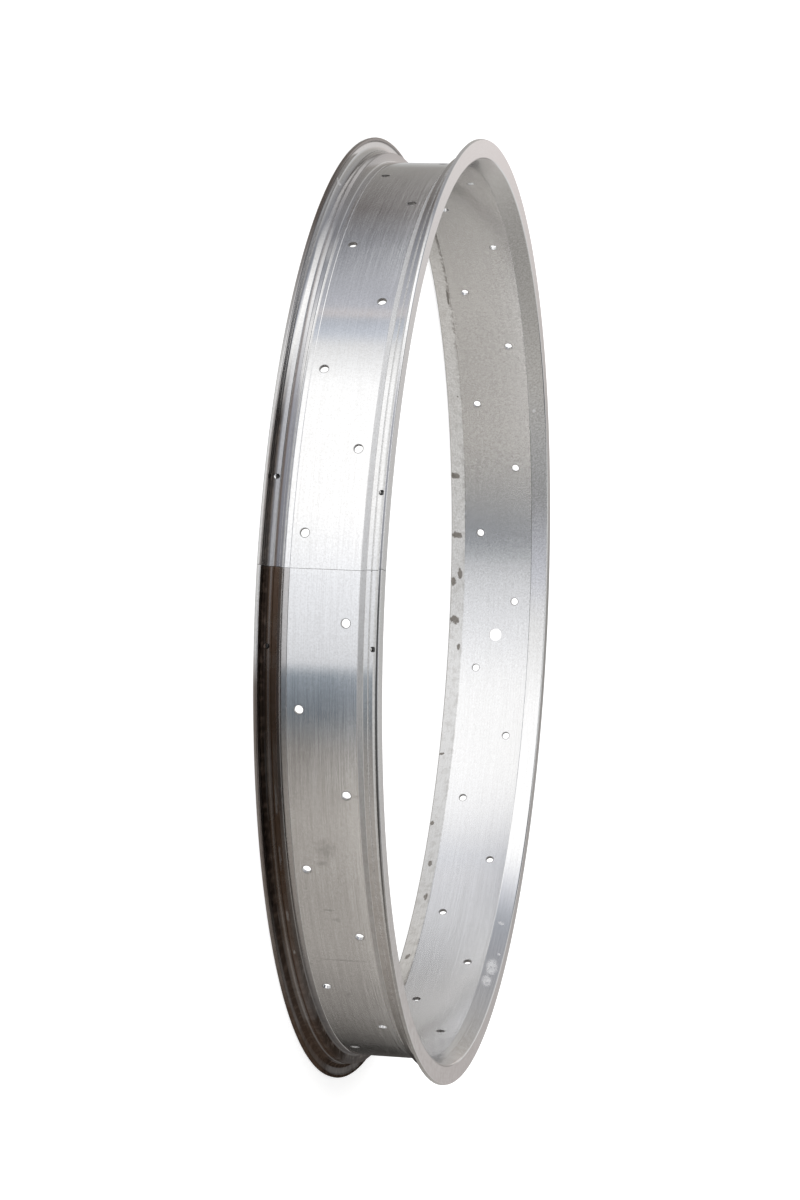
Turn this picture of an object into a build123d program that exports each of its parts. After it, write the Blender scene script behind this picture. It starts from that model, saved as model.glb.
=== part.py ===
"""Wide aluminium bicycle rim for a 559 mm bead seat: one extruded section, bent to a hoop and butt joined.

Millimetres. The wheel's axis is Z and its middle plane is XY. The hoop lies with its lower flange down.
The valve hole is on +Y, and the butt seam with its two joint sleeves is on the -Y side.
"""
import os
from math import atan2, cos, degrees, radians, sin, tan

from build123d import *

# Tyre side of the section
bead_seat_diameter = 559.0
overall_width = 68.0
flange_height = 8.5
flange_wall = 1.7
flange_root_bevel = 1.6
lip_thickness = 2.2
lip_height = 2.6
seat_width = 8.7
seat_drop = 0.75
well_depth = 6.5
step_draft = 0.4

# Hub side of the section
bed_wall = 2.0
face_drop = 3.5

# Hollow chamber under each bead seat, a triangle inside three walls
seat_wall = 1.8
step_wall = 1.8
slope_wall = 1.8

# Drilled holes
spoke_count = 36
spoke_hole_diameter = 4.8
spoke_row_offset = 12.5
valve_hole_diameter = 8.5
valve_angle = 90.0
drill_overshoot = 1.0

# Butt seam, with a sleeve in each chamber and two stake holes through each seat
seam_gap = 0.2
seam_off_opposite = -0.95
sleeve_past_stake = 6.0
sleeve_clearance = 0.1
stake_hole_diameter = 3.0
stake_reach_upper = 42.0
stake_reach_lower = 45.9
stake_shift_lower = -3.2
stake_from_wall = 3.3
stake_tilt = 30.0

# Levels that follow from the sizes above; r is a radius, z a height above the middle plane
face_z = overall_width / 2
wall_z = face_z - flange_wall
lip_z = face_z - lip_thickness
step_z = wall_z - seat_width
foot_z = step_z - step_draft
seat_r = bead_seat_diameter / 2
lip_r = seat_r + flange_height
hook_r = lip_r - lip_height
bed_r = seat_r - well_depth
bed_inner_r = bed_r - bed_wall
bed_middle_r = bed_r - bed_wall / 2
face_foot_r = seat_r - face_drop
slope_angle = atan2(face_foot_r - bed_inner_r, face_z - step_z)
seam_angle = valve_angle + 180 + seam_off_opposite
stake_lean = radians(stake_tilt)


def seat_level(z):
    """Radius of the tapered bead seat at height z."""
    return seat_r - seat_drop * (wall_z - z) / seat_width


def section_corners():
    """Corners (r, z) of the upper half of the section, from the outside of the bed round to its inside."""
    return [
        (bed_r, foot_z),
        (seat_level(step_z), step_z),
        (seat_r, wall_z),
        (hook_r, wall_z),
        (lip_r, lip_z),
        (lip_r, face_z),
        (face_foot_r, face_z),
        (bed_inner_r, step_z),
    ]


def chamber_corners(clearance):
    """Corners (r, z) of the upper chamber, drawn in by a clearance all round."""
    wall_side_z = step_z + step_wall + clearance
    top_r = seat_level(step_z) - seat_wall - clearance
    knee_r = bed_inner_r + (slope_wall + clearance) / cos(slope_angle)
    return [
        (top_r, wall_side_z),
        (top_r, step_z + (top_r - knee_r) / tan(slope_angle)),
        (knee_r + (wall_side_z - step_z) * tan(slope_angle), wall_side_z),
    ]


def on_side(corners, side):
    """The same corners on the upper (side 1) or lower (side -1) half of the section."""
    return [(r, side * z) for r, z in corners]


def radial_plane(angle):
    """Half plane through the wheel's axis at an angle: x is the radius and y the height."""
    outward = Vector(1, 0, 0).rotate(Axis.Z, angle)
    return Plane(origin=(0, 0, 0), x_dir=outward, z_dir=outward.cross(Vector(0, 0, 1)))


def stake_planes(side, reach, shift):
    """Mouths of the two stake holes on one side, whose axes lean from the radius to the middle plane."""
    z = wall_z - stake_from_wall
    planes = []
    for along in (shift - reach, shift + reach):
        section = radial_plane(seam_angle + degrees(along / seat_r))
        axis = section.x_dir * cos(stake_lean) - section.y_dir * side * sin(stake_lean)
        mouth = section.from_local_coords(Vector(seat_level(z), side * z, 0))
        planes.append(Plane(origin=mouth + axis * drill_overshoot, z_dir=axis))
    return planes


# A stake hole goes right through the seat wall, which its leaning drill leaves on one side first
stake_through = (seat_wall + seat_drop) / cos(stake_lean) + stake_hole_diameter / 2 * tan(stake_lean)
stake_depth = drill_overshoot + stake_through

# The hoop: the extruded bar with its two chambers, bent round the axis until its ends meet, then drilled
with BuildPart() as rim:
    gap_angle = degrees(seam_gap / lip_r)
    with BuildSketch(radial_plane(seam_angle + gap_angle / 2)) as section:
        upper = section_corners()
        with BuildLine():
            Polyline(on_side(upper, 1) + on_side(reversed(upper), -1), close=True)
        make_face()
        roots = section.vertices().filter_by_position(Axis.X, seat_r, seat_r)
        chamfer(roots, flange_root_bevel)
        for side in (1, -1):
            with BuildLine():
                Polyline(on_side(chamber_corners(0), side), close=True)
            make_face(mode=Mode.SUBTRACT)
    revolve(axis=Axis.Z, revolution_arc=360 - gap_angle)

    hole_pitch = 360 / spoke_count
    drill_length = bed_wall + 2 * drill_overshoot
    for side in (1, -1):
        first_hole = valve_angle + side * hole_pitch / 2
        with Locations((0, 0, side * spoke_row_offset)):
            with PolarLocations(bed_middle_r, spoke_count // 2, start_angle=first_hole):
                Cylinder(spoke_hole_diameter / 2, drill_length, rotation=(0, 90, 0), mode=Mode.SUBTRACT)
    with PolarLocations(bed_middle_r, 1, start_angle=valve_angle):
        Cylinder(valve_hole_diameter / 2, drill_length, rotation=(0, 90, 0), mode=Mode.SUBTRACT)
    for side, reach, shift in ((1, stake_reach_upper, 0), (-1, stake_reach_lower, stake_shift_lower)):
        with Locations(*stake_planes(side, reach, shift)):
            Hole(stake_hole_diameter / 2, depth=stake_depth)

# The two joint sleeves: bars of the chamber's own section that bridge the seam from inside
sleeve_half = max(stake_reach_upper, stake_reach_lower + abs(stake_shift_lower)) + sleeve_past_stake
sleeve_half_arc = degrees(sleeve_half / seat_r)
sleeves = {}
for name, side in (("upper_joint_sleeve", 1), ("lower_joint_sleeve", -1)):
    with BuildPart() as sleeve:
        with BuildSketch(radial_plane(seam_angle - sleeve_half_arc)):
            with BuildLine():
                Polyline(on_side(chamber_corners(sleeve_clearance), side), close=True)
            make_face()
        revolve(axis=Axis.Z, revolution_arc=2 * sleeve_half_arc)
    sleeves[name] = sleeve

os.makedirs("parts", exist_ok=True)
rim.part.label = "rim"
export_step(rim.part, "parts/rim.step")
for name, sleeve in sleeves.items():
    sleeve.part.label = name
    export_step(sleeve.part, f"parts/{name}.step")
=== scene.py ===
from math import atan2, ceil, cos, pi, radians, sin, tan

import bpy
from mathutils import Matrix, Quaternion, Vector


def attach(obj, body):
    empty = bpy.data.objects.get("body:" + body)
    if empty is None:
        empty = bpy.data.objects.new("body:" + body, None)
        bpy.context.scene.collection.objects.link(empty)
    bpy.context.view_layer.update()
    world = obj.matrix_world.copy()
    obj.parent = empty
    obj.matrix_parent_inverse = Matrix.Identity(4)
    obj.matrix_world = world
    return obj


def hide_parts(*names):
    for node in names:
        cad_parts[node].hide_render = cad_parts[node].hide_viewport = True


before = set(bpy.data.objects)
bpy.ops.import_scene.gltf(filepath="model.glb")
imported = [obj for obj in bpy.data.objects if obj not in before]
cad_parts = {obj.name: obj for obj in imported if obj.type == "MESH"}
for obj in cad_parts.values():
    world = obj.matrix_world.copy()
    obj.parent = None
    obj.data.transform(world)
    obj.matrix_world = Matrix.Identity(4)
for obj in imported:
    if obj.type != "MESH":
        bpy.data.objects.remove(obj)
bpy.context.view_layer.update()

# The hoop's section: one bar of extruded aluminium, whose die leaves small radii on every edge. Each half
# has a flat bed with a strip beside it, a step up to a grooved bead seat, a flange with a hooked lip, and
# a hollow three-sided chamber under the seat.
mm = 0.001
bed_r, bed_inner_r = 273.0 * mm, 271.0 * mm
seat_r, step_seat_r = 279.5 * mm, 278.75 * mm
lip_r, hook_r = 288.0 * mm, 285.4 * mm
lip_lean = 0.5 * mm
face_foot_r = 276.0 * mm
face_z, wall_z, lip_z = 34.0 * mm, 32.3 * mm, 31.8 * mm
step_z, foot_z = 23.6 * mm, 23.2 * mm
strip_z, strip_rise, strip_bevel = 19.5 * mm, 0.05 * mm, 0.3 * mm
groove_z, groove_half, groove_depth = 26.7 * mm, 0.45 * mm, 0.35 * mm
chamber_top_r, chamber_floor_r = 276.95 * mm, 273.86 * mm
chamber_wall_z, chamber_tip_z = 25.4 * mm, 31.8 * mm


def seat_level(z):
    """Radius of the tapered bead seat at height z."""
    return seat_r - (seat_r - step_seat_r) * (wall_z - z) / (wall_z - step_z)


def rounded(corners):
    """The closed outline through corners (r, z, rounding), with an arc and two short flat leads at each."""
    lead = 0.12 * mm
    arc_step = radians(24)
    outline = []
    for i, (r, z, rounding) in enumerate(corners):
        here = Vector((r, z))
        back = (Vector(corners[i - 1][:2]) - here).normalized()
        on = (Vector(corners[(i + 1) % len(corners)][:2]) - here).normalized()
        half = back.angle(on) / 2
        centre = here + (back + on).normalized() * rounding / sin(half)
        start = back * rounding / tan(half) + here - centre
        end = on * rounding / tan(half) + here - centre
        sweep = atan2(start.cross(end), start.dot(end))
        outline.append(centre + start + back * lead)
        steps = ceil(abs(sweep) / arc_step)
        for k in range(steps + 1):
            outline.append(centre + Matrix.Rotation(sweep * k / steps, 2) @ start)
        outline.append(centre + end + on * lead)
    return outline


def on_lower_half(corners):
    """The same corners on the lower half of the section, in the order that keeps the outline's sense."""
    return [(r, -z, rounding) for r, z, rounding in reversed(corners)]


upper_half = [
    (bed_r, strip_z - strip_bevel, 0.05 * mm),
    (bed_r + strip_rise, strip_z, 0.05 * mm),
    (bed_r + strip_rise, foot_z, 0.35 * mm),
    (step_seat_r, step_z, 0.45 * mm),
    (seat_level(groove_z - groove_half), groove_z - groove_half, 0.1 * mm),
    (seat_level(groove_z) - groove_depth, groove_z, 0.1 * mm),
    (seat_level(groove_z + groove_half), groove_z + groove_half, 0.1 * mm),
    (seat_r, wall_z, 3.4 * mm),
    (hook_r, wall_z, 0.5 * mm),
    (hook_r + lip_lean, lip_z, 0.2 * mm),
    (lip_r, lip_z, 0.6 * mm),
    (lip_r - lip_lean, face_z, 0.6 * mm),
    (face_foot_r, face_z, 1.2 * mm),
    (bed_inner_r, step_z, 1.0 * mm),
]
chamber = [
    (chamber_top_r, chamber_wall_z, 0.2 * mm),
    (chamber_floor_r, chamber_wall_z, 0.2 * mm),
    (chamber_top_r, chamber_tip_z, 0.2 * mm),
]

section = bpy.data.curves.new("rim_section", "CURVE")
for corners in (upper_half + on_lower_half(upper_half), chamber, on_lower_half(chamber)):
    outline = rounded(corners)
    spline = section.splines.new("POLY")
    spline.points.add(len(outline) - 1)
    spline.use_cyclic_u = True
    for point, (r, z) in zip(spline.points, outline):
        point.co = (r - seat_r, z, 0, 1)
bar = bpy.data.objects.new("rim_section", section)
bpy.context.collection.objects.link(bar)

# Drilling: two staggered rows of spoke holes, one wider valve hole on +Y, and four leaning stake holes near
# the seam, all left with sharp edges. Each point of the pattern carries its drill's direction and radius.
spoke_holes = 36
hole_pitch = 360 / spoke_holes
spoke_hole_r = 2.4 * mm
spoke_row_z = 12.5 * mm
valve_hole_r = 4.25 * mm
valve_angle = 90.0
seam_angle = 269.05
stake_hole_r = 1.5 * mm
stake_turns = {1: (-8.61, 8.61), -1: (-10.07, 8.75)}
stake_z = 29.0 * mm
stake_lean = radians(30)


def outward(angle):
    """Unit vector from the wheel's axis, at an angle in degrees."""
    return Vector((cos(radians(angle)), sin(radians(angle)), 0))


drills = []
for k in range(spoke_holes):
    facing = outward(valve_angle + (k + 0.5) * hole_pitch)
    row_z = spoke_row_z if k % 2 == 0 else -spoke_row_z
    drills.append((facing * bed_r + Vector((0, 0, row_z)), facing, spoke_hole_r))
drills.append((outward(valve_angle) * bed_r, outward(valve_angle), valve_hole_r))
for side, turns in stake_turns.items():
    for stake_turn in turns:
        facing = outward(seam_angle + stake_turn)
        mouth = facing * seat_level(stake_z) + Vector((0, 0, side * stake_z))
        leaning = facing * cos(stake_lean) - Vector((0, 0, side * sin(stake_lean)))
        drills.append((mouth, leaning, stake_hole_r))

pattern = bpy.data.meshes.new("drill_pattern")
pattern.from_pydata([place for place, way, radius in drills], [], [])
ways = pattern.attributes.new("way", "FLOAT_VECTOR", "POINT")
ways.data.foreach_set("vector", [share for place, way, radius in drills for share in way])
radii = pattern.attributes.new("hole_radius", "FLOAT", "POINT")
radii.data.foreach_set("value", [radius for place, way, radius in drills])
drill_points = bpy.data.objects.new("drill_pattern", pattern)
bpy.context.collection.objects.link(drill_points)

# Bending and joining: the bar is bent round a former until its ends meet, and the joint is left as a fine
# line. The last stretch of each end stands a little proud of the circle, so the light breaks at the seam.
drill_sides = 40
saw_depth, saw_height = 40.0 * mm, 100.0 * mm
sharp_edge = radians(32)
tree = bent_hoop = bpy.data.node_groups.new("bent_hoop", "GeometryNodeTree")


def add(kind, inputs=None, **settings):
    """Adds a node to the tree in hand, and fills its inputs with values or links them to other sockets."""
    made = tree.nodes.new(kind)
    for name, value in settings.items():
        setattr(made, name, value)
    for name, value in (inputs or {}).items():
        if isinstance(value, bpy.types.NodeSocket):
            tree.links.new(value, made.inputs[name])
        else:
            made.inputs[name].default_value = value
    return made


def sums(operation, *values):
    """A Math node's output, from values or sockets."""
    return add("ShaderNodeMath", dict(enumerate(values)), operation=operation).outputs[0]


def has_socket(in_out, name, kind="NodeSocketFloat"):
    """Gives the tree in hand a named input or output."""
    tree.interface.new_socket(name, in_out=in_out, socket_type=kind)


hoop_values = {
    "Bend Radius": ("NodeSocketFloat", seat_r),
    "Steps": ("NodeSocketInt", 440),
    "Drill Pattern": ("NodeSocketObject", drill_points),
    "Drill Length": ("NodeSocketFloat", 5.0 * mm),
    "Seam Direction": ("NodeSocketVector", outward(seam_angle)),
    "Seam Gap": ("NodeSocketFloat", 0.2 * mm),
    "Seam Rise": ("NodeSocketFloat", 0.3 * mm),
    "Seam Reach": ("NodeSocketFloat", 16.0 * mm),
}
has_socket("INPUT", "Geometry", "NodeSocketGeometry")
for name, (kind, value) in hoop_values.items():
    has_socket("INPUT", name, kind)
has_socket("OUTPUT", "Geometry", "NodeSocketGeometry")

given = tree.nodes.new("NodeGroupInput").outputs
circle = add("GeometryNodeCurvePrimitiveCircle", {
    "Resolution": given["Steps"],
    "Radius": given["Bend Radius"],
})
place = add("GeometryNodeInputPosition").outputs[0]
radial = add("ShaderNodeVectorMath", {0: place}, operation="NORMALIZE").outputs[0]
towards_seam = add("ShaderNodeVectorMath", {0: radial, 1: given["Seam Direction"]}, operation="DOT_PRODUCT")
from_seam = sums("MULTIPLY", sums("ARCCOSINE", towards_seam.outputs["Value"]), given["Bend Radius"])
fade = sums("EXPONENT", sums("DIVIDE", sums("MULTIPLY", from_seam, -1.0), given["Seam Reach"]))
proud = sums("MULTIPLY", fade, given["Seam Rise"])
rise = add("ShaderNodeVectorMath", {0: radial, "Scale": proud}, operation="SCALE")
former = add("GeometryNodeSetPosition", {"Geometry": circle.outputs["Curve"], "Offset": rise.outputs[0]})
upright = add("GeometryNodeSetCurveNormal", {"Curve": former.outputs[0]}, mode="Z_UP")
hoop = add("GeometryNodeCurveToMesh", {"Curve": upright.outputs[0], "Profile Curve": given["Geometry"]})

pattern_of = add("GeometryNodeObjectInfo", {"Object": given["Drill Pattern"]})
drill = add("GeometryNodeMeshCylinder", {
    "Vertices": drill_sides,
    "Radius": 1.0,
    "Depth": given["Drill Length"],
})
way = add("GeometryNodeInputNamedAttribute", {"Name": "way"}, data_type="FLOAT_VECTOR")
aim = add("FunctionNodeAlignRotationToVector", {"Vector": way.outputs["Attribute"]}, axis="Z")
wide = add("GeometryNodeInputNamedAttribute", {"Name": "hole_radius"}, data_type="FLOAT").outputs["Attribute"]
girth = add("ShaderNodeCombineXYZ", {"X": wide, "Y": wide, "Z": 1.0})
drilled = add("GeometryNodeInstanceOnPoints", {
    "Points": pattern_of.outputs["Geometry"],
    "Instance": drill.outputs["Mesh"],
    "Rotation": aim.outputs[0],
    "Scale": girth.outputs[0],
})
saw_size = add("ShaderNodeCombineXYZ", {"X": saw_depth, "Y": given["Seam Gap"], "Z": saw_height})
saw = add("GeometryNodeMeshCube", {"Size": saw_size.outputs[0]})
at_seam = add("ShaderNodeVectorMath", {
    0: given["Seam Direction"],
    "Scale": given["Bend Radius"],
}, operation="SCALE")
saw_aim = add("FunctionNodeAlignRotationToVector", {"Vector": given["Seam Direction"]}, axis="X")
sawn = add("GeometryNodeTransform", {
    "Geometry": saw.outputs["Mesh"],
    "Translation": at_seam.outputs[0],
    "Rotation": saw_aim.outputs[0],
})
cutters = add("GeometryNodeJoinGeometry")
for cutter in (sawn.outputs[0], drilled.outputs[0]):
    tree.links.new(cutter, cutters.inputs[0])
solid_cutters = add("GeometryNodeRealizeInstances", {"Geometry": cutters.outputs[0]})
cut = add("GeometryNodeMeshBoolean", {"Mesh 1": hoop.outputs[0]}, operation="DIFFERENCE", solver="MANIFOLD")
tree.links.new(solid_cutters.outputs[0], cut.inputs["Mesh 2"])
smooth = add("GeometryNodeSetShadeSmooth", {"Geometry": cut.outputs["Mesh"]}, domain="FACE")
bend = add("GeometryNodeInputMeshEdgeAngle").outputs["Unsigned Angle"]
crisp = add("GeometryNodeSetShadeSmooth", {
    "Geometry": smooth.outputs[0],
    "Selection": sums("GREATER_THAN", bend, sharp_edge),
    "Shade Smooth": False,
}, domain="EDGE")
whole = add("GeometryNodeRealizeInstances", {"Geometry": crisp.outputs[0]})
finish_of = add("GeometryNodeSetMaterial", {"Geometry": whole.outputs[0]})
out = tree.nodes.new("NodeGroupOutput")
tree.links.new(finish_of.outputs[0], out.inputs[0])

# The raw metal: fine drawing lines run along the bar and spread the light across it, so the hoop mirrors the
# studio in soft bands. The metal is bare, with no coating. In its masks radii and heights are in millimetres,
# and turns in degrees from the valve hole.
tree = hoop_grain = bpy.data.node_groups.new("hoop_grain", "ShaderNodeTree")
long_share, short_share = 0.45, 0.55
short_length, short_count = 0.16, 1.5


def spread(value, low, high, to_low=0.0, to_high=1.0):
    """A value carried from one range to another, held at its ends."""
    made = add("ShaderNodeMapRange", {
        "Value": value,
        "From Min": low,
        "From Max": high,
        "To Min": to_low,
        "To Max": to_high,
    })
    return made.outputs["Result"]


def noise(scale, detail, roughness):
    """Even noise on the piece's own coordinates."""
    spot = add("ShaderNodeTexCoord").outputs["Object"]
    made = add("ShaderNodeTexNoise", {
        "Vector": spot,
        "Scale": scale,
        "Detail": detail,
        "Roughness": roughness,
    })
    return made.outputs["Fac"]


def line_noise(length_share, count_share):
    """Noise drawn out along the bar, at a share of the asked length and count."""
    count = sums("MULTIPLY", asked["Lines per Metre"], count_share)
    stretched = add("ShaderNodeCombineXYZ", {
        "X": sums("DIVIDE", along, sums("MULTIPLY", asked["Line Length"], length_share)),
        "Y": sums("MULTIPLY", at["Z"], count),
        "Z": sums("MULTIPLY", out_from_axis, count),
    })
    made = add("ShaderNodeTexNoise", {
        "Vector": stretched.outputs[0],
        "Scale": 1.0,
        "Detail": 3.0,
        "Roughness": 0.6,
    })
    return made.outputs["Fac"]


has_socket("INPUT", "Lines per Metre")
has_socket("INPUT", "Line Length")
for name in ("Lines", "Cloud", "Turn", "Out", "Up"):
    has_socket("OUTPUT", name)
asked = tree.nodes.new("NodeGroupInput").outputs
turned = add("ShaderNodeVectorRotate", {
    "Vector": add("ShaderNodeTexCoord").outputs["Object"],
    "Angle": pi - radians(seam_angle),
}, rotation_type="Z_AXIS")
at = add("ShaderNodeSeparateXYZ", {0: turned.outputs[0]}).outputs
from_opposite = sums("ARCTAN2", at["Y"], at["X"])
along = sums("MULTIPLY", from_opposite, seat_r)
flat = add("ShaderNodeCombineXYZ", {"X": at["X"], "Y": at["Y"]})
out_from_axis = add("ShaderNodeVectorMath", {0: flat.outputs[0]}, operation="LENGTH").outputs["Value"]
short_lines = sums("MULTIPLY", line_noise(short_length, short_count), short_share)
seam_off = valve_angle + 180 - seam_angle
grain_answers = {
    "Lines": sums("MULTIPLY_ADD", line_noise(1.0, 1.0), long_share, short_lines),
    "Cloud": noise(22.0, 5.0, 0.6),
    "Turn": sums("MULTIPLY_ADD", from_opposite, 180 / pi, -seam_off),
    "Out": sums("DIVIDE", out_from_axis, mm),
    "Up": sums("DIVIDE", at["Z"], mm),
}
answer = tree.nodes.new("NodeGroupOutput")
for name, socket in grain_answers.items():
    tree.links.new(socket, answer.inputs[name])

# A ragged spot on the metal, such as a drip or a scuff: it lies at a turn from the valve hole and a height,
# with half sizes along and across the bar.
tree = ragged_spot = bpy.data.node_groups.new("ragged_spot", "ShaderNodeTree")
raggedness = 1.6
arc_mm = radians(1) * bed_r / mm
for name in ("Turn", "Up", "Speckle", "At Turn", "At Up", "Half Along", "Half Across", "Soft"):
    has_socket("INPUT", name)
has_socket("OUTPUT", "Mask")
asked = tree.nodes.new("NodeGroupInput").outputs
aside = sums("MULTIPLY", sums("SUBTRACT", asked["Turn"], asked["At Turn"]), arc_mm)
aside = sums("DIVIDE", aside, asked["Half Along"])
above = sums("DIVIDE", sums("SUBTRACT", asked["Up"], asked["At Up"]), asked["Half Across"])
reach = sums("SQRT", sums("MULTIPLY_ADD", aside, aside, sums("MULTIPLY", above, above)))
reach = sums("MULTIPLY_ADD", asked["Speckle"], raggedness, sums("SUBTRACT", reach, raggedness / 2))
answer = tree.nodes.new("NodeGroupOutput")
tree.links.new(spread(reach, sums("SUBTRACT", 1.0, asked["Soft"]), 1.0, 1.0, 0.0), answer.inputs["Mask"])

rim_metal = bpy.data.materials.new("raw_drawn_aluminium")
rim_metal.use_nodes = True
tree = rim_metal.node_tree
tree.nodes.clear()
grain = add("ShaderNodeGroup", {"Lines per Metre": 1500.0, "Line Length": 0.16}, node_tree=hoop_grain)
lines, cloud, turn, out_mm, up_mm = [grain.outputs[name] for name in ("Lines", "Cloud", "Turn", "Out", "Up")]
speckle = noise(420.0, 3.0, 0.6)
stain_noise = noise(190.0, 4.0, 0.65)
fine_grain = noise(850.0, 2.0, 0.5)


def blend_colours(amount, first, second):
    """A mix of two colours or colour sockets."""
    return add("ShaderNodeMix", {0: amount, 6: first, 7: second}, data_type="RGBA").outputs[2]


def both_of(*masks):
    """The product of masks or shares."""
    product = masks[0]
    for mask in masks[1:]:
        product = sums("MULTIPLY", product, mask)
    return product


def most_of(*masks):
    """The greatest of masks."""
    greatest = masks[0]
    for mask in masks[1:]:
        greatest = sums("MAXIMUM", greatest, mask)
    return greatest


def apart_from(mask):
    """What a mask leaves."""
    return sums("SUBTRACT", 1.0, mask)


def between(value, low, high, soft):
    """Mask of a range of a value, with soft ends inside it."""
    return both_of(spread(value, low, low + soft), spread(value, high - soft, high, 1.0, 0.0))


def spots(soft, places):
    """One mask of ragged spots: their soft share, then each one's turn, height and half sizes."""
    masks = []
    for at_turn, at_up, half_along, half_across in places:
        masks.append(add("ShaderNodeGroup", {
            "Turn": turn,
            "Up": up_mm,
            "Speckle": speckle,
            "At Turn": at_turn,
            "At Up": at_up,
            "Half Along": half_along,
            "Half Across": half_across,
            "Soft": soft,
        }, node_tree=ragged_spot).outputs["Mask"])
    return most_of(*masks)


# Round each spoke hole is a dark ring. The hole's own wall is painted dark as painted shade, and made rough,
# in two of the hoop's quarters, and is nearly clean in the others. A painted shadow of the seam's gap
# darkens the sawn ends.
hole_number = sums("MULTIPLY_ADD", turn, 1 / hole_pitch, -0.5)
nearest = sums("ROUND", hole_number)
aside = sums("MULTIPLY", sums("SUBTRACT", hole_number, nearest), hole_pitch * arc_mm)
row_side = sums("MULTIPLY_ADD", sums("FLOORED_MODULO", nearest, 2.0), -2.0, 1.0)
above = sums("MULTIPLY_ADD", row_side, -spoke_row_z / mm, up_mm)
from_hole = sums("SQRT", sums("MULTIPLY_ADD", aside, aside, sums("MULTIPLY", above, above)))
in_bed = spread(out_mm, 273.6, 274.0, 1.0, 0.0)
turn_to_seam = sums("SUBTRACT", 180.0, sums("ABSOLUTE", sums("ADD", turn, seam_off)))
seam_shadow = spread(sums("MULTIPLY", turn_to_seam, arc_mm), 0.11, 0.16, 1.0, 0.0)
shaded_rough_wall = spread(sums("FLOORED_MODULO", turn, 180.0), 85.0, 95.0, 0.05, 0.8)
on_surface = spread(from_hole, 2.41, 2.44)
hole_ring_and_wall_shade = both_of(most_of(on_surface, shaded_rough_wall), spread(from_hole, 2.5, 2.95, 1.0, 0.0))
dark_rings_and_shade = most_of(both_of(hole_ring_and_wall_shade, in_bed), seam_shadow)

# The strips beside the bed, of which the die left the upper one matt, and the hub side with its two slopes.
hub_margin = 0.6
slope_rise = (face_foot_r - bed_inner_r) / (face_z - step_z)
high = sums("ABSOLUTE", up_mm)
on_strip = both_of(between(high, 19.4, 23.6, 0.2), spread(out_mm, 272.2, 272.6))
upper_part = spread(up_mm, -1.0, 1.0)
lower_part = spread(up_mm, -1.0, 1.0, 1.0, 0.0)
on_slope = sums("MAXIMUM", sums("SUBTRACT", high, step_z / mm), 0.0)
hub_level = sums("MULTIPLY_ADD", on_slope, slope_rise, bed_inner_r / mm + hub_margin)
on_hub_side = both_of(sums("LESS_THAN", out_mm, hub_level), spread(high, 33.4, 33.9, 1.0, 0.0))

# The lower flange is painted dark brown, as painted shade and painted dark reflection, thickest in its root,
# under its lip and in the groove. It is heavy all over the end that follows the seam, where it turns black
# and matt. Before the seam it lies in the root and on the crest, and thinly elsewhere.
in_lower_flange = both_of(
    spread(up_mm, -23.2, -23.0, 1.0, 0.0),
    spread(out_mm, 273.4, 274.0),
    apart_from(on_hub_side),
)
after_seam = spread(turn, -80.0, -62.0, 1.0, 0.0)
before_seam = apart_from(after_seam)
darkest_end = both_of(after_seam, spread(turn, -142.0, -116.0))
in_root = both_of(spread(up_mm, -30.2, -28.6, 1.0, 0.0), between(out_mm, 278.8, 282.2, 0.4))
under_lip = between(out_mm, 284.9, 286.6, 0.5)
deep = most_of(in_root, both_of(under_lip, 0.85))
on_wall = spread(out_mm, 281.6, 283.0)
on_crest = spread(out_mm, 285.9, 286.5)
under_crest = both_of(spread(out_mm, 281.6, 282.4), spread(up_mm, -32.9, -32.4))
on_lower_strip = both_of(on_strip, lower_part)
in_groove = both_of(between(up_mm, -27.2, -25.0, 0.7), spread(out_mm, 277.4, 278.0))
paler_patches = spots(0.5, [
    (-154.6, -25.2, 9.0, 1.1),
    (-147.4, -25.4, 8.0, 1.1),
    (-139.0, -25.0, 5.0, 0.9),
    (-133.0, -24.6, 2.0, 0.8),
])

wall_share = sums("MULTIPLY_ADD", darkest_end, -0.38, 0.42)
heavy = sums("SUBTRACT", spread(cloud, 0.46, 0.60, 0.99, 0.90), both_of(on_wall, wall_share))
heavy = sums("MULTIPLY_ADD", on_crest, spread(turn, -172.0, -168.0, -0.45, 0.25), heavy)
heavy = sums("SUBTRACT", most_of(heavy, deep), both_of(paler_patches, 0.3))
heavy = sums("SUBTRACT", heavy, both_of(between(up_mm, -28.6, -27.2, 0.4), 0.16))

root_shade = both_of(deep, spread(turn, 153.0, 162.0, 0.2, 0.94))
crest_shade = both_of(
    spread(turn, 134.0, 158.0, 0.85, 0.1),
    before_seam,
    spread(out_mm, 284.6, 285.8, 0.2, 1.0),
)
seat_shade = both_of(
    spread(out_mm, 279.2, 279.8, 1.0, 0.0),
    spread(turn, 124.0, 140.0, 0.5, 0.0),
    before_seam,
)
wall_shade = both_of(spread(turn, 154.0, 166.0), under_crest, spread(cloud, 0.4, 0.6, 0.75, 0.55))
light = most_of(spread(cloud, 0.35, 0.65, 0.03, 0.16), root_shade, crest_shade, seat_shade, wall_shade)

# Painted shade and dark reflection on the lower flange, in its groove and on its lower strip after the seam.
groove_shade = both_of(in_groove, most_of(after_seam, spread(turn, 140.0, 166.0, 0.4, 0.8)))
strip_shade = both_of(on_lower_strip, after_seam, spread(darkest_end, 0.0, 1.0, 0.4, 0.8))
flange_shade = both_of(in_lower_flange, most_of(both_of(after_seam, heavy), light))
painted_shade = most_of(flange_shade, groove_shade, strip_shade)

# Colours of that painted shade: brown, black in the root, under the lip and toward the end, duller in
# patches.
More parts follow.
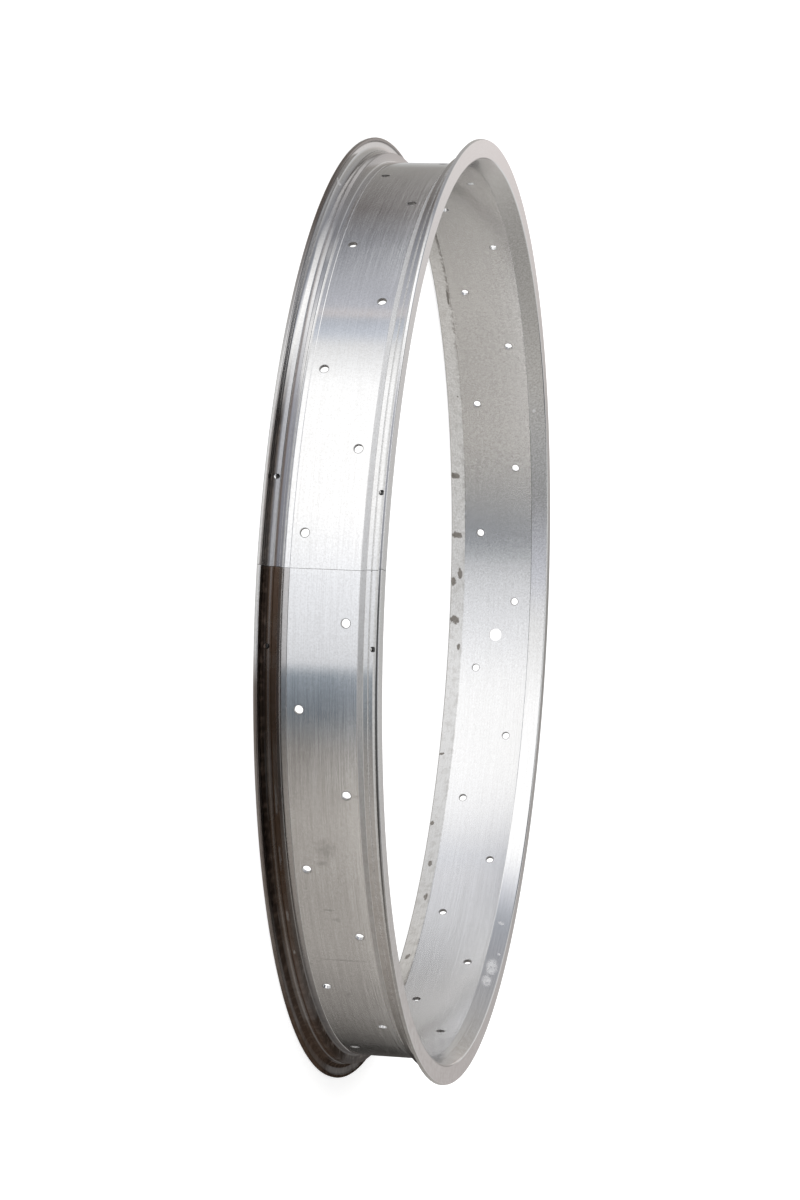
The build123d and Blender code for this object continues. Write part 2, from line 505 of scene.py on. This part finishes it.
brown_shade, black_shade = (0.118, 0.076, 0.052, 1), (0.026, 0.018, 0.014, 1)
dull_brown_shade = (0.15, 0.11, 0.085, 1)
inner_shade = both_of(darkest_end, spread(up_mm, -25.4, -24.4, 0.5, 0.75))
end_shade = both_of(after_seam, spread(turn, -112.0, -102.0, 0.0, 0.85))
dark_share = most_of(both_of(deep, spread(darkest_end, 0.0, 1.0, 1.0, 0.6)), inner_shade, end_shade)
painted_shade_colour = blend_colours(dark_share, brown_shade, black_shade)
painted_shade_colour = blend_colours(spread(stain_noise, 0.46, 0.66, 0.0, 0.45), painted_shade_colour, dull_brown_shade)

# Brown drips of cutting fluid have dried on the lower slope of the hub side, with fainter stains round them,
# and painted shade darkens the corner where the slope begins, more toward both ends. After the seam a thin
# film lies on the upper strip, seat and flange. On the bed are a few smudges.
on_lower_slope = both_of(spread(up_mm, -23.4, -22.6, 1.0, 0.0), spread(out_mm, 275.6, 276.4, 1.0, 0.0))
drips = both_of(on_lower_slope, spots(0.25, [
    (2.0, -30.2, 3.2, 4.4),
    (7.6, -31.7, 3.4, 2.4),
    (8.8, -27.0, 4.0, 2.0),
    (14.4, -29.6, 2.6, 4.6),
    (23.3, -30.5, 2.4, 3.8),
    (-2.0, -26.0, 2.6, 1.4),
    (-18.0, -32.0, 1.0, 2.4),
    (-29.0, -32.2, 2.2, 1.6),
    (-36.0, -28.4, 2.6, 2.0),
    (-42.0, -26.6, 3.4, 1.6),
    (-54.0, -29.0, 3.0, 2.0),
    (36.0, -25.8, 0.8, 0.8),
    (54.0, -25.0, 9.0, 0.9),
]))
mottle = both_of(on_lower_slope, spread(stain_noise, 0.48, 0.68, 0.0, 0.26))
# Painted shade in the corner where the lower slope begins, stronger toward both ends.
corner_shade = both_of(
    between(up_mm, -25.4, -22.8, 0.8),
    sums("LESS_THAN", out_mm, 272.6),
    spread(stain_noise, 0.42, 0.56, 0.0, 0.55),
    most_of(spread(turn, 40.0, 56.0, 0.15, 1.0), spread(turn, -66.0, -50.0, 0.8, 0.15)),
)
upper_dirt = both_of(
    spread(up_mm, 19.3, 19.8),
    spread(out_mm, 272.4, 272.8),
    spread(turn, -165.0, -140.0),
    after_seam,
    spread(stain_noise, 0.40, 0.62, 0.12, 0.3),
)
smudges = both_of(in_bed, spots(1.0, [
    (-139.1, -3.0, 1.0, 4.4),
    (-137.6, 1.0, 1.8, 2.6),
    (-147.8, -1.2, 9.0, 8.0),
    (-146.0, -3.4, 3.0, 5.0),
    (-155.0, 17.4, 1.4, 2.6),
    (134.4, -16.6, 0.8, 1.8),
    (-129.5, -18.4, 1.1, 1.6),
    (-123.3, -1.2, 3.0, 1.4),
    (-130.6, 0.0, 0.9, 16.0),
]))

# Pale scuffs lie on the upper slope, and one on the lower flange's wall. Small pits are all over the metal,
# and a band of the lower seat beside the step is painted darker and bluer, as painted reflection.
slope_scuffs = spots(0.4, [
    (-58.4, 28.0, 7.0, 3.4),
    (-55.2, 28.6, 10.0, 4.2),
    (-46.1, 28.0, 1.6, 2.2),
    (-52.0, 31.0, 1.4, 1.2),
    (34.0, 26.6, 1.6, 1.4),
])
wall_scuff = both_of(spots(0.4, [(123.0, -31.6, 1.8, 2.6)]), between(out_mm, 279.4, 284.4, 0.5))
scuffs = both_of(most_of(slope_scuffs, wall_scuff), spread(speckle, 0.35, 0.6, 0.45, 1.0))
pits = spread(speckle, 0.64, 0.74)
# Painted reflection: a darker, bluer band on the lower seat beside the step.
painted_blue_band = both_of(
    between(up_mm, -26.6, -23.2, 0.3),
    spread(out_mm, 274.2, 275.2),
    spread(turn, 150.0, 160.0, 0.4, 1.0),
)

# The bare metal's own shade comes from its lines and its grain, and the layers above lie on it in turn.
dim_bed, clean_bed = (0.80, 0.795, 0.79, 1), (0.90, 0.90, 0.90, 1)
dim_hub, clean_hub = (0.83, 0.825, 0.82, 1), (0.99, 0.99, 0.99, 1)
on_flange = spread(out_mm, 274.5, 275.5)
hub_lines = spread(turn, -50.0, -25.0, 0.9, 0.45)
hub_grain = spread(turn, -12.0, 18.0, 0.25, 1.05)
line_share = both_of(spread(on_flange, 0.0, 1.0, 1.0, 0.5), spread(on_hub_side, 0.0, 1.0, 1.0, hub_lines))
grain_share = spread(on_hub_side, 0.0, 1.0, 0.8, hub_grain)
shade = sums("MULTIPLY_ADD", sums("SUBTRACT", lines, 0.5), line_share, 0.5)
shade = sums("MULTIPLY_ADD", sums("SUBTRACT", fine_grain, 0.5), grain_share, shade)
shade = sums("MULTIPLY_ADD", both_of(sums("SUBTRACT", speckle, 0.5), on_hub_side), 0.15, shade)
dim_metal = blend_colours(on_hub_side, dim_bed, dim_hub)
clean_metal = blend_colours(on_hub_side, clean_bed, clean_hub)
metal_colour = blend_colours(spread(shade, 0.34, 0.66), dim_metal, clean_metal)
# Painted shade and reflection among these layers: blue band, lower flange, hub corner, hole walls, seam.
for amount, layer_colour in (
    (both_of(pits, 0.15), (0.4, 0.39, 0.37, 1)),
    (both_of(painted_blue_band, 0.7), (0.38, 0.38, 0.42, 1)),
    (painted_shade, painted_shade_colour),
    (both_of(drips, 0.8), (0.22, 0.19, 0.16, 1)),
    (mottle, (0.42, 0.39, 0.35, 1)),
    (corner_shade, (0.2, 0.18, 0.16, 1)),
    (upper_dirt, (0.42, 0.35, 0.30, 1)),
    (both_of(smudges, 0.3), (0.25, 0.24, 0.22, 1)),
    (both_of(scuffs, 0.36), (0.88, 0.88, 0.90, 1)),
    (both_of(dark_rings_and_shade, 0.9), (0.16, 0.15, 0.145, 1)),
):
    metal_colour = blend_colours(amount, metal_colour, layer_colour)

drawn = sums("ADD", spread(lines, 0.38, 0.68, 0.075, 0.125), spread(cloud, 0.35, 0.65, 0.0, 0.02))
roughness = most_of(
    drawn,
    both_of(on_strip, upper_part, 0.5),
    both_of(dark_rings_and_shade, 0.45),
    both_of(on_hub_side, 0.23),
    both_of(most_of(drips, scuffs), 0.5),
    both_of(painted_shade, 0.28),
)
# Drips, scuffs and the painted shade at the end after the seam are made less metallic.
coated_and_shaded = most_of(both_of(drips, 0.6), both_of(scuffs, 0.5), both_of(painted_shade, darkest_end))
relief = add("ShaderNodeBump", {"Height": lines, "Strength": 0.025, "Distance": 0.2 * mm})
brushed_along = add("ShaderNodeTangent", direction_type="RADIAL", axis="Z")
bare_metal = add("ShaderNodeBsdfPrincipled", {
    "Base Color": metal_colour,
    "Metallic": apart_from(coated_and_shaded),
    "Roughness": roughness,
    "Specular IOR Level": 0.0,
    "Anisotropic": 0.4,
    "Anisotropic Rotation": 0.25,
    "Tangent": brushed_along.outputs[0],
    "Normal": relief.outputs[0],
})
add("ShaderNodeOutputMaterial", {"Surface": bare_metal.outputs[0]})

finish_of.inputs["Material"].default_value = rim_metal
bending = bar.modifiers.new("bent_hoop", "NODES")
bending.node_group = bent_hoop
for item in bent_hoop.interface.items_tree:
    if item.in_out == "INPUT" and item.name in hoop_values:
        bending[item.identifier] = hoop_values[item.name][1]
depsgraph = bpy.context.evaluated_depsgraph_get()
rim_mesh = bpy.data.meshes.new_from_object(bar.evaluated_get(depsgraph), depsgraph=depsgraph)
rim_mesh.name = "rim_hoop"
rim_hoop = bpy.data.objects.new("rim_hoop", rim_mesh)
bpy.context.collection.objects.link(rim_hoop)
for helper in (bar, drill_points):
    bpy.data.objects.remove(helper)
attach(rim_hoop, "root")
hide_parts("rim")

# The joint sleeves: two short bars of the chamber's own section, sawn to length and pushed halfway into each
# end of the hoop, where they are staked through the seat. Only the stake holes and the seam show them, and
# their metal is painted dark, as painted shade deep in the stake holes.
sleeve_shade_dark, sleeve_shade_pale = (0.10, 0.10, 0.10, 1), (0.2, 0.2, 0.2, 1)
sleeve_metal = bpy.data.materials.new("sawn_aluminium_in_shade")
sleeve_metal.use_nodes = True
tree = sleeve_metal.node_tree
tree.nodes.clear()
grain = add("ShaderNodeGroup", {"Lines per Metre": 700.0, "Line Length": 0.04}, node_tree=hoop_grain)
sawn_metal = add("ShaderNodeBsdfPrincipled", {
    "Base Color": blend_colours(grain.outputs["Lines"], sleeve_shade_dark, sleeve_shade_pale),
    "Metallic": 1.0,
    "Roughness": spread(grain.outputs["Cloud"], 0.3, 0.7, 0.4, 0.5),
})
add("ShaderNodeOutputMaterial", {"Surface": sawn_metal.outputs[0]})
for name in ("upper_joint_sleeve", "lower_joint_sleeve"):
    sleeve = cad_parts[name].data
    sleeve.materials.clear()
    sleeve.materials.append(sleeve_metal)

# The stage: a wide pale floor under the lower flange, painted matt. It keeps the hoop's shadow, and a little
# glow brings it to white in the picture. Metal mirrors the studio through it.
floor_half = 14.0
floor_glow_level = 0.55
floor_mesh = bpy.data.meshes.new("studio_floor")
corners = [(-1, -1), (1, -1), (1, 1), (-1, 1)]
floor_mesh.from_pydata([(x * floor_half, y * floor_half, -face_z) for x, y in corners], [], [(0, 1, 2, 3)])
floor = bpy.data.objects.new("studio_floor", floor_mesh)
bpy.context.collection.objects.link(floor)
floor_paint = bpy.data.materials.new("pale_floor")
floor_paint.use_nodes = True
tree = floor_paint.node_tree
tree.nodes.clear()
ray = add("ShaderNodeLightPath").outputs
matt = add("ShaderNodeBsdfDiffuse", {"Color": (0.8, 0.8, 0.8, 1)})
glow_level = sums("MULTIPLY", ray["Is Camera Ray"], floor_glow_level)
glow = add("ShaderNodeEmission", {"Color": (1, 1, 1, 1), "Strength": glow_level})
lit = add("ShaderNodeAddShader", {0: matt.outputs[0], 1: glow.outputs[0]})
clear = add("ShaderNodeBsdfTransparent")
seen = add("ShaderNodeMixShader", {0: ray["Is Glossy Ray"], 1: lit.outputs[0], 2: clear.outputs[0]})
add("ShaderNodeOutputMaterial", {"Surface": seen.outputs[0]})
floor_mesh.materials.append(floor_paint)

# The studio: a soft tent all round. What the metal mirrors are rings of panels one above the other, given by
# the angle from the camera's side, the level and the tint where there is one. All else gets plain even light.
camera_turn = -86.84
plain, pale, cool, blue = (1, 1, 1), (0.985, 1, 1.035), (0.97, 0.99, 1.08), (0.86, 1, 1.14)
warm, rose, sky, sand = (1.035, 1, 0.95), (1.06, 0.98, 0.96), (0.93, 0.99, 1.1), (1.07, 1, 0.93)
low_wall = [
    (-180, 0.45), (-172, 0.70), (-165, 0.58), (-155, 0.32, warm), (-120, 0.16, rose), (-104, 0.26, cool),
    (-80, 0.54, cool), (-77.5, 0.66, rose), (-76, 0.51, sky), (-71, 0.66, sky), (-68, 0.86), (-56, 1.20),
    (-24, 1.15), (-8, 0.96, pale), (14.7, 0.75, pale), (16, 0.30, blue), (27, 0.15, blue), (36, 0.22, sand),
    (53, 0.36, sand), (95, 0.33, sand), (120, 0.20, sand), (150, 0.03, sand), (170, 0.06, sand), (180, 0.45),
]
screens = [
    (-180, 0.55), (-155, 0.50), (-130, 1.32), (-108, 1.60), (-84, 0.56, cool), (-66, 0.80, cool), (-45, 1.52),
    (-18, 1.66), (0, 1.30, pale), (10, 1.04, pale), (22, 0.68, cool), (30, 1.22), (46, 1.42, warm),
    (80, 1.08, warm), (115, 1.04, warm), (145, 0.95, warm), (158, 0.40, warm), (180, 0.55),
]
dark_room = [
    (-180, 0.22, warm), (-171, 0.76, rose), (-158, 0.45, warm), (-108, 0.33, cool), (-92, 0.95), (-78, 1.36),
    (-64, 1.05), (-46, 0.50, cool), (-14, 0.34, cool), (0, 0.10), (60, 0.06, warm), (95, 0.31, warm),
    (130, 0.30, warm), (155, 0.42, warm), (171, 0.48, rose), (180, 0.22, warm),
]
high_wall = [
    (-180, 0.80), (-165, 0.64), (-110, 0.34, cool), (-98, 0.34, sky), (-88, 0.68, cool), (-76, 1.22),
    (-28, 1.28), (-14, 1.10), (0, 0.96), (10, 0.75, cool), (24, 0.48, cool), (36, 0.31), (50, 0.39),
    (74, 0.43, warm), (95, 0.34, warm), (120, 0.31, warm), (180, 0.80),
]
floor_glow = [
    (-180, 0.28, warm), (-150, 0.20, warm), (-137, 0.60, warm), (-95, 0.65), (-65, 0.80), (-20, 0.85),
    (10, 0.64), (120, 0.54, warm), (180, 0.28, warm),
]
dark_gap, overhead = (0.10, 0.10, 0.11, 1), (0.85, 0.85, 0.85, 1)

# Where one ring ends and the next begins: a height in degrees, a lift on parts of the ring, and a soft edge.
low_top, low_lift, low_soft = -11.3, 0.7, 0.4
screen_top, screen_lift, screen_soft = -9.2, 2.4, 1.0
room_top, room_lift, room_soft = 10.0, 14.0, 4.0
low_lifted = [(-180, 1), (-110, 1), (-90, 0), (20, 0), (60, 0.5), (110, 1)]
screens_lifted = [(-85, 0), (-65, 1), (10, 1), (20, 0)]
room_lifted = [
    (-165, 0), (-150, 1), (-108, 1), (-92, 0), (-66, 0), (-54, 1),
    (50, 1), (58, 0), (92, 0), (108, 1), (150, 1), (165, 0),
]
studio = bpy.data.worlds.new("soft_studio")
bpy.context.scene.world = studio
studio.use_nodes = True
tree = studio.node_tree
tree.nodes.clear()
ray = add("ShaderNodeLightPath").outputs
heading = add("ShaderNodeTexCoord").outputs["Generated"]
turned = add("ShaderNodeVectorRotate", {
    "Vector": heading,
    "Angle": -radians(camera_turn),
}, rotation_type="Z_AXIS")
at = add("ShaderNodeSeparateXYZ", {0: turned.outputs[0]}).outputs
round_share = sums("MULTIPLY_ADD", sums("ARCTAN2", at["Y"], at["X"]), 0.5 / pi, 0.5)
height = sums("MULTIPLY", sums("ARCSINE", at["Z"]), 180 / pi)


def panel_ring(panels):
    """Colour of a ring of panels, given as angles from the camera's side, levels and any tints."""
    ring = add("ShaderNodeValToRGB", {"Fac": round_share})
    stops = ring.color_ramp.elements
    while len(stops) > 1:
        stops.remove(stops[-1])
    for k, (angle, level, *tints) in enumerate(panels):
        tint = tints[0] if tints else plain
        stop = stops[0] if k == 0 else stops.new((angle + 180) / 360)
        stop.position = (angle + 180) / 360
        stop.color = (*(level * share for share in tint), 1)
    return ring.outputs["Color"]


def above_ring(top, lift, lifted, soft):
    """Mask of what lies above the top edge of a ring of panels."""
    edge = sums("MULTIPLY_ADD", panel_ring(lifted), lift, top)
    return spread(sums("SUBTRACT", height, edge), 0.0, soft)


above_low = above_ring(low_top, low_lift, low_lifted, low_soft)
above_screens = above_ring(screen_top, screen_lift, screens_lifted, screen_soft)
above_room = above_ring(room_top, room_lift, room_lifted, room_soft)
walls = blend_colours(above_low, panel_ring(low_wall), panel_ring(screens))
walls = blend_colours(above_screens, walls, panel_ring(dark_room))
walls = blend_colours(above_room, walls, panel_ring(high_wall))
walls = blend_colours(spread(height, 47.0, 51.0), walls, dark_gap)
walls = blend_colours(spread(height, 62.0, 68.0), walls, overhead)
tent_colour = blend_colours(spread(height, -18.0, -36.0), walls, panel_ring(floor_glow))
mirrored = add("ShaderNodeBackground", {"Color": tent_colour, "Strength": 1.0})
even_level = sums("MULTIPLY_ADD", ray["Is Camera Ray"], 0.4, 0.6)
even = add("ShaderNodeBackground", {"Color": (1, 1, 1, 1), "Strength": even_level})
both = add("ShaderNodeMixShader", {0: ray["Is Glossy Ray"], 1: even.outputs[0], 2: mirrored.outputs[0]})
add("ShaderNodeOutputWorld", {"Surface": both.outputs[0]})

# The lamp: a wide soft screen overhead, aimed at the hoop's centre. It lights the floor, and the drips,
# scuffs and painted shade on the rim, and the metal doesn't mirror it.
lamp_side = 2.4
lamp_power = 30.0
lamp_place = (-0.6, -0.5, 2.2)
screen = bpy.data.lights.new("overhead_screen", "AREA")
screen.shape = "RECTANGLE"
screen.size, screen.size_y = lamp_side, lamp_side
screen.energy = lamp_power
screen_stand = bpy.data.objects.new("overhead_screen", screen)
screen_stand.location = lamp_place
screen_stand.rotation_euler = (-screen_stand.location).to_track_quat("-Z", "Y").to_euler()
screen_stand.visible_glossy = False
bpy.context.collection.objects.link(screen_stand)

# The camera: a long lens low above the floor, rolled on its side, so that the hoop stands upright in the
# picture. It was fitted to the outlines of the flanges and the centres of the spoke holes.
eye = Vector((0.1072, -1.9414, 0.3807))
aim_at = Vector((-0.0055, -0.0031, -0.0134))
roll = radians(92.36)
lens = bpy.data.cameras.new("camera")
lens.sensor_width = 36.0
lens.lens = 96.5
lens.clip_end = 100.0
camera = bpy.data.objects.new("camera", lens)
camera.location = eye
camera.rotation_mode = "QUATERNION"
camera.rotation_quaternion = (aim_at - eye).to_track_quat("-Z", "Y") @ Quaternion((0, 0, 1), roll)
bpy.context.collection.objects.link(camera)
bpy.context.scene.camera = camera
bpy.context.scene.view_settings.view_transform = "Standard"
